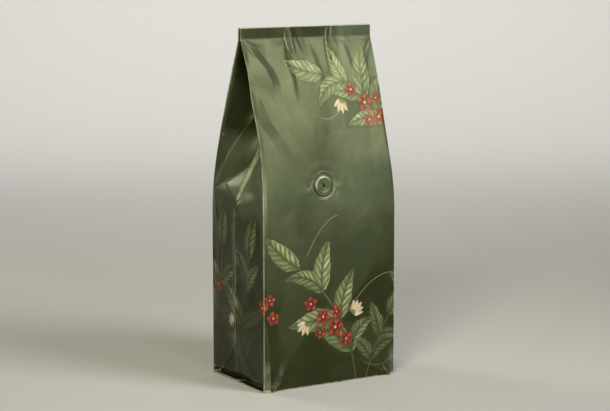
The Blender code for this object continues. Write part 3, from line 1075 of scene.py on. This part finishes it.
def add_blossoms(finish, colour):
    inset, share, petal = finish.mark("blossom")
    colour = finish.mix(finish.band(inset, -3.0, 0.0, 0.0, 0.6), colour, paint(34, 30, 18))
    body = finish.mix(finish.band(share, 0.25, 0.85), paint(74, 12, 17), paint(138, 31, 35))
    glow = finish.math("MULTIPLY", finish.band(finish.noise(4.5, 3.0), 0.42, 0.66), finish.band(petal, -0.4, 0.9))
    body = finish.mix(finish.math("MULTIPLY", glow, 0.7), body, paint(198, 96, 68))
    body = finish.mix(finish.band(petal, -0.55, -0.98, 0.0, 0.85), body, paint(62, 9, 14))
    body = finish.mix(finish.band(share, 0.3, 0.2), body, paint(88, 34, 18))
    body = finish.mix(finish.band(share, 0.2, 0.12), body, paint(204, 176, 116))
    return finish.mix(finish.band(inset, -0.2, 0.2), colour, body)


def add_buds(finish, colour):
    inset, along, across = finish.mark("bud")
    body = finish.mix(finish.band(across, -0.5, 0.7), paint(206, 190, 158), paint(150, 130, 98))
    body = finish.mix(finish.band(along, 0.32, 0.18), body, paint(96, 104, 62))
    return finish.mix(finish.band(inset, -0.1, 0.1), colour, body)


def add_edge_highlights_and_wear(finish, colour):
    """Pale lines on folds and hard creases, partly worn film and partly painted highlight, and the pale cut edge at the
    top.
    """
    to_fold, to_top, crease = finish.mark("highlight_and_wear")
    patchy = wavering(finish, 0.2, 0.65)
    uneven = finish.math("MULTIPLY_ADD", patchy, 0.75)
    uneven.node.inputs[2].default_value = 0.15
    uneven = finish.math("MULTIPLY", uneven, finish.band(finish.noise(38.0, 2.0), 0.38, 0.6, 0.3, 1.0))
    # Pale fold lines: painted highlight on worn film, dimmer under painted shade
    fold = finish.math("MULTIPLY", finish.band(to_fold, 0.25, 1.0, 0.62, 0.0), uneven)
    fold = finish.math("MULTIPLY", fold, finish.band(finish.single("painted_shade"), 0.3, 1.0, 1.0, 0.55))
    colour = finish.mix(fold, colour, finish.mix(finish.single("painted_shade"), paint(200, 204, 174), paint(112, 118, 80)))
    colour = finish.mix(finish.band(to_top, 0.3, 0.95, 0.9, 0.0), colour, paint(190, 192, 170))
    # Pale creases: worn whitening, with painted highlights on the pinched strips, bottom corners and foot
    crease_wear_and_highlight = finish.math("MULTIPLY", finish.band(crease, 0.5, 1.3, 0.0, 1.0), patchy)
    return finish.mix(crease_wear_and_highlight, colour, paint(176, 180, 150))


def film_surface(finish):
    """Satin laminate: patchy gloss, faint handling marks and a fine crinkle."""
    _, _, crease = finish.mark("highlight_and_wear")
    cloud = finish.noise(34.0, 4.0)
    scuff = finish.band(finish.noise(1.6, 5.0, (1, 1, 0.22)), 0.58, 0.78)
    gloss = finish.math("MULTIPLY_ADD", cloud, 0.14)
    gloss.node.inputs[2].default_value = 0.29
    gloss = finish.math("ADD", gloss, finish.math("MULTIPLY", scuff, 0.06))
    gloss = finish.math("ADD", gloss, finish.math("MULTIPLY", crease, 0.1))
    crinkle = finish.math("ADD", finish.noise(9.0, 4.0), finish.math("MULTIPLY", finish.noise(1.3, 2.0), 0.12))
    finish.bumps(crinkle, 0.22, 0.0007)
    return gloss


def printed_film():
    finish = Finish("printed_film")
    cloud = finish.noise(46.0, 4.0)
    colour = finish.mix(finish.band(cloud, 0.3, 0.72), OLIVE_DEEP, OLIVE)
    # Painted shade: the dark olive that the painted_shade mark mixes in
    low = finish.mix(finish.band(cloud, 0.3, 0.72), paint(18, 21, 2), paint(31, 36, 8))
    colour = finish.mix(finish.single("painted_shade"), colour, low)
    pale = finish.math("MULTIPLY", finish.band(finish.noise(15.0, 4.0), 0.5, 0.8), finish.band(finish.single("painted_shade"), 0.0, 1.0, 0.35, 0.06))
    colour = finish.mix(pale, colour, OLIVE_PALE)
    shadow = finish.band(finish.single("shadow"), -0.6, 1.6, 0.0, 0.6)
    colour = finish.mix(shadow, colour, SHADE_GREEN)
    colour = add_stems(finish, colour)
    colour = add_leaves(finish, colour)
    colour = add_buds(finish, colour)
    colour = add_blossoms(finish, colour)
    # Past 1, painted shade darkens the whole print towards near black
    deepest = finish.math("SUBTRACT", finish.single("painted_shade"), 1.0)
    colour = finish.mix(finish.band(deepest, 0.0, 1.0, 0.0, 0.85), colour, paint(19, 19, 1))
    colour = add_edge_highlights_and_wear(finish, colour)
    colour = finish.mix(finish.single("lining"), colour, paint(158, 160, 148))
    gloss = film_surface(finish)
    finish.set(Base_Color=colour, Roughness=gloss, Specular_IOR_Level=0.5, Specular_Tint=SHEEN)
    return finish.material


def valve_film():
    finish = Finish("valve_film")
    colour = finish.mix(finish.band(finish.noise(9.0, 4.0), 0.3, 0.7), OLIVE_DEEP, OLIVE)
    painted_highlight, painted_dark, from_hole = finish.mark("painted_light_and_radius")
    # Painted highlight and painted shade on the valve's rings
    colour = finish.mix(finish.band(painted_highlight, 0.1, 1.0, 0.0, 0.6), colour, paint(182, 186, 158))
    colour = finish.mix(finish.band(painted_dark, 0.1, 1.0, 0.0, 0.75), colour, paint(22, 26, 8))
    # The pinhole painted near black: painted shade in the hole
    hole = finish.band(from_hole, 0.9, 1.1, 1.0, 0.0)
    colour = finish.mix(hole, colour, paint(8, 9, 6))
    gloss = finish.math("SUBTRACT", film_surface(finish), 0.06)
    finish.set(Base_Color=colour, Roughness=gloss, Specular_IOR_Level=0.5, Specular_Tint=SHEEN)
    return finish.material


# ------------------------------------------------------------------ pieces
def build_sheets(material):
    """The four sheets of the tube of film, and the lap seam up the middle of the back."""
    z = row_heights()
    sheets = [front_sheet(z), gusset_sheet(z, 1), back_sheet(z), gusset_sheet(z, -1)]
    for sheet in sheets:
        sheet[..., 1] -= shared_shift(sheet[..., 0], sheet[..., 2])
    share = {"front": np.linspace(-1, 1, 150), "gusset": np.linspace(-1, 1, 138), "back": np.linspace(-1, 1, 130)}
    half, deep = WIDTH / 2, DEPTH / 2
    panel, fold = half - CORNER, deep - LOWER_FOLD * 0.7
    places = [
        places_round(share["front"] * panel, -half, half),
        places_round(RIGHT_GUSSET + share["gusset"] * fold, half, half + DEPTH),
        places_round(share["back"] * panel, -half, half),
        places_round(-RIGHT_GUSSET + share["gusset"] * fold, -half - DEPTH, -half),
    ]
    front = (FRONT_LEAVES, FRONT_BLOSSOMS, FRONT_BUDS, FRONT_STEMS, FRONT_TENDRILS, FRONT_SHADOWS)
    back = (BACK_LEAVES, BACK_BLOSSOMS, BACK_BUDS, BACK_STEMS, BACK_TENDRILS, BACK_SHADOWS)
    names = ["front_panel", "gusset_right", "back_panel", "gusset_left"]
    pieces = []
    for name, grid, place, printed in zip(names, wrap(sheets), places, (front, front, back, front)):
        pieces.append(shell_piece(name, grid, film_marks(grid, place, *printed), material))
    pieces.append(build_back_seam(z, back, material))
    return pieces


def build_back_seam(z, printed, material):
    """A strip of film lapped over the middle of the back, lifting a little along its free edge."""
    z = z[z > 1.2]
    columns = np.linspace(1, -1, 18)
    share, high = np.meshgrid(columns, z)
    x = share * SEAM_WIDTH / 2 + 0.25 * np.sin(high / 17.0) * smooth(share)
    panel = x / (half_width(high, BACK_INSET) - CORNER)
    out = crowned(panel, high, BACK_CROWN) - pressed_in(panel, high) + back_relief(x, high)
    lifted = 0.42 + 0.22 * smooth(share * 2 - 1) * (0.6 + 0.4 * np.sin(high / 11.0))
    lifted = lifted - 0.3 * smooth((high - SEAL_FOOT) / 2)
    grid = np.stack([x, back_edge(panel, high) + out + lifted - shared_shift(x, high), high], -1)
    return shell_piece("back_seam", grid, film_marks(grid, columns * -SEAM_WIDTH / 2, *printed), material, 0.35)


def plain_marks(shape):
    """Marks of film that carries no print."""
    far = np.full((*shape, 3), -40.0)
    far[..., 1:] = 1.0
    stems = np.full((*shape, 3), 40.0)
    highlight_and_wear = np.zeros((*shape, 3))
    highlight_and_wear[..., :2] = 9.0
    # Full painted shade: deep olive all over
    return {"leaf": far, "blossom": far, "bud": far, "stem": stems, "highlight_and_wear": highlight_and_wear, "shadow": np.full(shape, -40.0), "painted_shade": np.ones(shape)}


def base_flap(name, near, far, height, seed, material):
    """A flap of the folded base, from near to far in depth: layered film sealed flat, a little wavy
    at its two ends, with pale rims that are partly wear and partly painted highlight, and painted shade inside them."""
    reach = WIDTH / 2 - 0.2
    rim = np.array([0.0, 0.1, 0.22, 0.4, 0.65, 1.0, 1.5, 2.2])
    right = reach - rim
    across = np.concatenate([-right, np.linspace(-reach + 3.2, reach - 3.2, 96), right[::-1]])
    x, y = np.meshgrid(across, np.linspace(near, far, 46))
    end = reach - np.abs(x)
    wave = swell(x, y, (31.0, 17.0, 9.0), 0.09, seed) * np.exp(-end / 7)
    z = height + wave
    if name == "base_back_flap":
        z = z + 1.3 * np.exp(-(y - near) / 1.4) * np.exp(-end / 5.0)
    x = x + 0.25 * np.sin(y / 6.0 + seed) * np.sign(x) * np.exp(-end / 6)
    grid = np.stack([x, y, z], -1)
    marks = plain_marks(grid.shape[:2])
    marks["highlight_and_wear"][..., 0] = end
    # Pale rim: painted highlight on worn film; painted shade darkens the flap inside it
    marks["highlight_and_wear"][..., 2] = 1.3 * smooth((0.8 - end) / 0.4)
    marks["painted_shade"] = smooth((end - 0.3) / 0.6)
    return shell_piece(name, grid, marks, material, FLAP_THICKNESS)


def panel_point(x, z):
    """A point of the front panel's outer face."""
    x, z = np.array([[float(x)]]), np.array([[float(z)]])
    share = x / (half_width(z) - CORNER)
    out = crowned(share, z, FRONT_CROWN) - pressed_in(share, z) + front_relief(x, z)
    return np.array([x[0, 0], (front_edge(share, z) - out)[0, 0], z[0, 0]])


# The valve's section from its pinhole outward: (radius, height above the film round it)
VALVE_SECTION = [
    (0.0, -1.5), (0.6, -1.5), (0.86, -1.2), (0.94, 0.5), (1.15, 0.74), (2.2, 0.77), (3.8, 0.84), (5.0, 0.94),
    (5.6, 1.05), (6.0, 1.1), (6.3, 1.04), (6.9, 0.86), (7.5, 0.66), (8.0, 0.48), (8.3, 0.32), (8.5, 0.0),
    (8.62, -0.4), (8.8, -0.62), (9.2, -0.7), (9.6, -0.68), (9.9, -0.58), (10.3, -0.4), (10.7, -0.2),
    (11.0, -0.07), (11.25, -0.03), (11.32, -0.6),
]
VALVE_UNDERSIDE = -1.7


def valve_frame():
    """Middle of the film round the valve, and its right, upward and outward directions."""
    away = VALVE_RADIUS + 0.8
    left, right = panel_point(VALVE_X - away, VALVE_Z), panel_point(VALVE_X + away, VALVE_Z)
    low, high = panel_point(VALVE_X, VALVE_Z - away), panel_point(VALVE_X, VALVE_Z + away)
    rightward = (right - left) / np.linalg.norm(right - left)
    out = np.cross(rightward, high - low)
    out = out / np.linalg.norm(out)
    return (left + right + low + high) / 4, rightward, np.cross(out, rightward), out


def build_valve(material):
    """The valve: rings of a turned section, with a pinhole that is taller than it is wide, a dished
    button, a sloping shoulder, a sunken ring and a wall that climbs back to the film."""
    radius, height = np.array(VALVE_SECTION).T
    path = np.arange(len(radius), dtype=float)
    fine = np.linspace(0, path[-1], 126)
    radius, height = np.interp(fine, path, radius), np.interp(fine, path, height)
    radius, height = (soften(line[:, None], 3)[:, 0] for line in (radius, height))
    radius = np.concatenate([radius, [9.6, 6.0, 0.0]])
    height = np.concatenate([height, [VALVE_UNDERSIDE] * 3])
    turns = np.linspace(0, 2 * np.pi, 145)[:-1]
    ring, turn = np.meshgrid(radius[1:-1], turns, indexing="ij")
    lift = np.meshgrid(height[1:-1], turns, indexing="ij")[0]
    uneven = 0.05 * np.sin(2 * turn + 0.7) * (ring / 12) + 0.03 * np.sin(5 * turn) * (ring / 12) ** 2
    sag = 0.5 * bump(ring - 7.6, 0.8) * smooth(0.5 - 0.9 * np.sin(turn + 0.3))
    lift = lift + (uneven - sag) * (lift > VALVE_UNDERSIDE + 0.2)
    slot = 1 + 0.7 * bump(ring, 1.5)
    middle, rightward, up, out = valve_frame()
    span = ring * np.cos(turn), ring * np.sin(turn) * slot
    rings = middle + span[0][..., None] * rightward + span[1][..., None] * up + lift[..., None] * out
    ends = middle + np.array([height[0], height[-1]])[:, None] * out
    points = np.concatenate([rings.reshape(-1, 3), ends])
    count = len(turns)
    index = np.arange(rings.shape[0] * count).reshape(-1, count)
    turned = np.roll(index, -1, axis=1)
    walls = np.stack([index[:-1], index[1:], turned[1:], turned[:-1]], -1).reshape(-1, 4)
    top, bottom = len(points) - 2, len(points) - 1
    caps = [(top, a, b) for a, b in zip(index[0], turned[0])] + [(bottom, b, a) for a, b in zip(index[-1], turned[-1])]
    faces = [tuple(int(i) for i in face) for face in walls.tolist() + caps]
    # Painted highlight on the shoulder's upper left and the outer wall's lower side, and painted shade under the sunken
    # ring's lower side, on the outer wall's top and just inside the button's rim at the top
    upper, lower = smooth(0.45 + 0.8 * np.cos(turn - 2.0)), smooth(0.5 - 0.8 * np.sin(turn + 0.1))
    painted_highlight = bump(ring - 7.1, 0.8) * upper + 0.5 * bump(ring - 10.2, 0.5) * smooth(0.2 - 0.9 * np.sin(turn - 0.5))
    painted_dark = bump(ring - 8.9, 0.85) * lower + 0.7 * bump(ring - 10.3, 0.5) * smooth(0.1 + 0.9 * np.sin(turn + 0.2))
    painted_dark = painted_dark + 0.6 * bump(ring - 5.5, 0.4) * smooth(0.9 * np.sin(turn))
    painted_light_and_radius = np.stack([painted_highlight, painted_dark, ring], -1).reshape(-1, 3)
    painted_light_and_radius = np.concatenate([painted_light_and_radius, [[0, 0, 0], [0, 0, 9]]])
    highlight_and_wear = np.zeros((len(points), 3))
    highlight_and_wear[:, 0] = 9.0
    return new_piece("valve_cover", points, np.array(faces, dtype=object), material, {"highlight_and_wear": highlight_and_wear, "painted_light_and_radius": painted_light_and_radius}, 40)


film = printed_film()
shell = build_sheets(film)
shell.append(base_flap("base_front_flap", -DEPTH / 2 + BASE_ROUND, 4.5, 0.85, 5, film))
shell.append(base_flap("base_back_flap", -1.5, DEPTH / 2 - BASE_ROUND, 1.6, 9, film))
for piece in shell:
    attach(piece, "root")
    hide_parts("bag")
valve = build_valve(valve_film())
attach(valve, "root")
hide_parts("valve")


# ------------------------------------------------------------------ studio
VIEW_TURN = math.radians(31.575)
VIEW_DROP = math.radians(8.6166)
VIEW_DISTANCE = 1.503355
VIEW_SIDE = 0.0013956
VIEW_HEIGHT = 0.143546
LENS = 106.096
WARM = (1.0, 0.97, 0.76)


def studio_floor():
    """Floor and backdrop in one sheet: flat under the bag, a quarter-round behind it, then upright.
    It is carried square to the camera's heading."""
    ahead = np.array([math.sin(VIEW_TURN), math.cos(VIEW_TURN), 0.0])
    right = np.array([math.cos(VIEW_TURN), -math.sin(VIEW_TURN), 0.0])
    turn = np.linspace(0, np.pi / 2, 25)
    back, bend = 1.6, 0.9
    run = np.concatenate([[-9.0, -1.0, 0.0, 0.8], back + bend * np.sin(turn), [back + bend]])
    rise = np.concatenate([[0.0, 0.0, 0.0, 0.0], bend * (1 - np.cos(turn)), [6.0]])
    across = np.linspace(-9, 9, 9)
    path, side = np.meshgrid(np.arange(len(run)), across, indexing="ij")
    points = run[path][..., None] * ahead + side[..., None] * right
    points[..., 2] = rise[path]
    index = np.arange(path.size).reshape(path.shape)
    faces = np.stack([index[:-1, :-1], index[:-1, 1:], index[1:, 1:], index[1:, :-1]], -1).reshape(-1, 4)
    mesh = bpy.data.meshes.new("studio_floor")
    mesh.from_pydata(points.reshape(-1, 3).tolist(), [], faces.tolist())
    mesh.polygons.foreach_set("use_smooth", np.ones(len(faces), bool))
    finish = Finish("floor_paint")
    finish.set(Base_Color=paint(212, 210, 205), Roughness=0.8, Specular_IOR_Level=0.15)
    mesh.materials.append(finish.material)
    floor = bpy.data.objects.new("studio_floor", mesh)
    bpy.context.scene.collection.objects.link(floor)


def softbox(name, turn, rise, distance, width, height, power, colour=(1.0, 1.0, 1.0), spread=70):
    """A soft light aimed at the bag, at this turn from straight ahead of the front panel, this
    rise above level and this distance."""
    turn, rise = math.radians(turn), math.radians(rise)
    target = Vector((0.0, 0.0, 0.17))
    away = Vector((math.sin(turn) * math.cos(rise), -math.cos(turn) * math.cos(rise), math.sin(rise)))
    lamp = bpy.data.lights.new(name, "AREA")
    lamp.shape = "RECTANGLE"
    lamp.size = width
    lamp.size_y = height
    lamp.energy = power
    lamp.color = colour
    lamp.spread = math.radians(spread)
    holder = bpy.data.objects.new(name, lamp)
    holder.location = target + away * distance
    holder.rotation_euler = (-away).to_track_quat("-Z", "Y").to_euler()
    bpy.context.scene.collection.objects.link(holder)


def backdrop_light():
    """A wide light over the space behind the bag that shines down and away from it."""
    lamp = bpy.data.lights.new("backdrop", "AREA")
    lamp.shape = "RECTANGLE"
    lamp.size = 3.0
    lamp.size_y = 0.8
    lamp.energy = 26.0
    lamp.spread = math.radians(120)
    holder = bpy.data.objects.new("backdrop", lamp)
    ahead = Vector((math.sin(VIEW_TURN), math.cos(VIEW_TURN), 0.0))
    place = ahead * 1.1 + Vector((0.0, 0.0, 2.0))
    target = ahead * 2.4 + Vector((0.0, 0.0, 0.3))
    holder.location = place
    holder.rotation_euler = (target - place).to_track_quat("-Z", "Y").to_euler()
    bpy.context.scene.collection.objects.link(holder)


def place_camera():
    ahead = Vector(
        (
            math.sin(VIEW_TURN) * math.cos(VIEW_DROP),
            math.cos(VIEW_TURN) * math.cos(VIEW_DROP),
            -math.sin(VIEW_DROP),
        )
    )
    right = Vector((math.cos(VIEW_TURN), -math.sin(VIEW_TURN), 0.0))
    target = right * VIEW_SIDE + Vector((0, 0, VIEW_HEIGHT))
    data = bpy.data.cameras.new("camera")
    data.lens = LENS
    camera = bpy.data.objects.new("camera", data)
    camera.location = target - ahead * VIEW_DISTANCE
    camera.rotation_euler = ahead.to_track_quat("-Z", "Y").to_euler()
    bpy.context.scene.collection.objects.link(camera)
    bpy.context.scene.camera = camera


studio_floor()
softbox("key", 29, 33, 1.6, 0.65, 1.1, 3.0)
softbox("left", -46, 29, 1.6, 0.5, 0.5, 2.0, WARM)
softbox("behind", -155, 27, 1.7, 0.5, 0.5, 1.15, WARM)
softbox("low", -6, 4, 1.6, 0.45, 0.4, 1.2)
backdrop_light()
world = bpy.data.worlds.new("studio")
world.use_nodes = True
world.node_tree.nodes["Background"].inputs["Color"].default_value = (1.0, 0.99, 0.97, 1.0)
world.node_tree.nodes["Background"].inputs["Strength"].default_value = 0.08
bpy.context.scene.world = world
bpy.context.scene.view_settings.view_transform = "Standard"
place_camera()
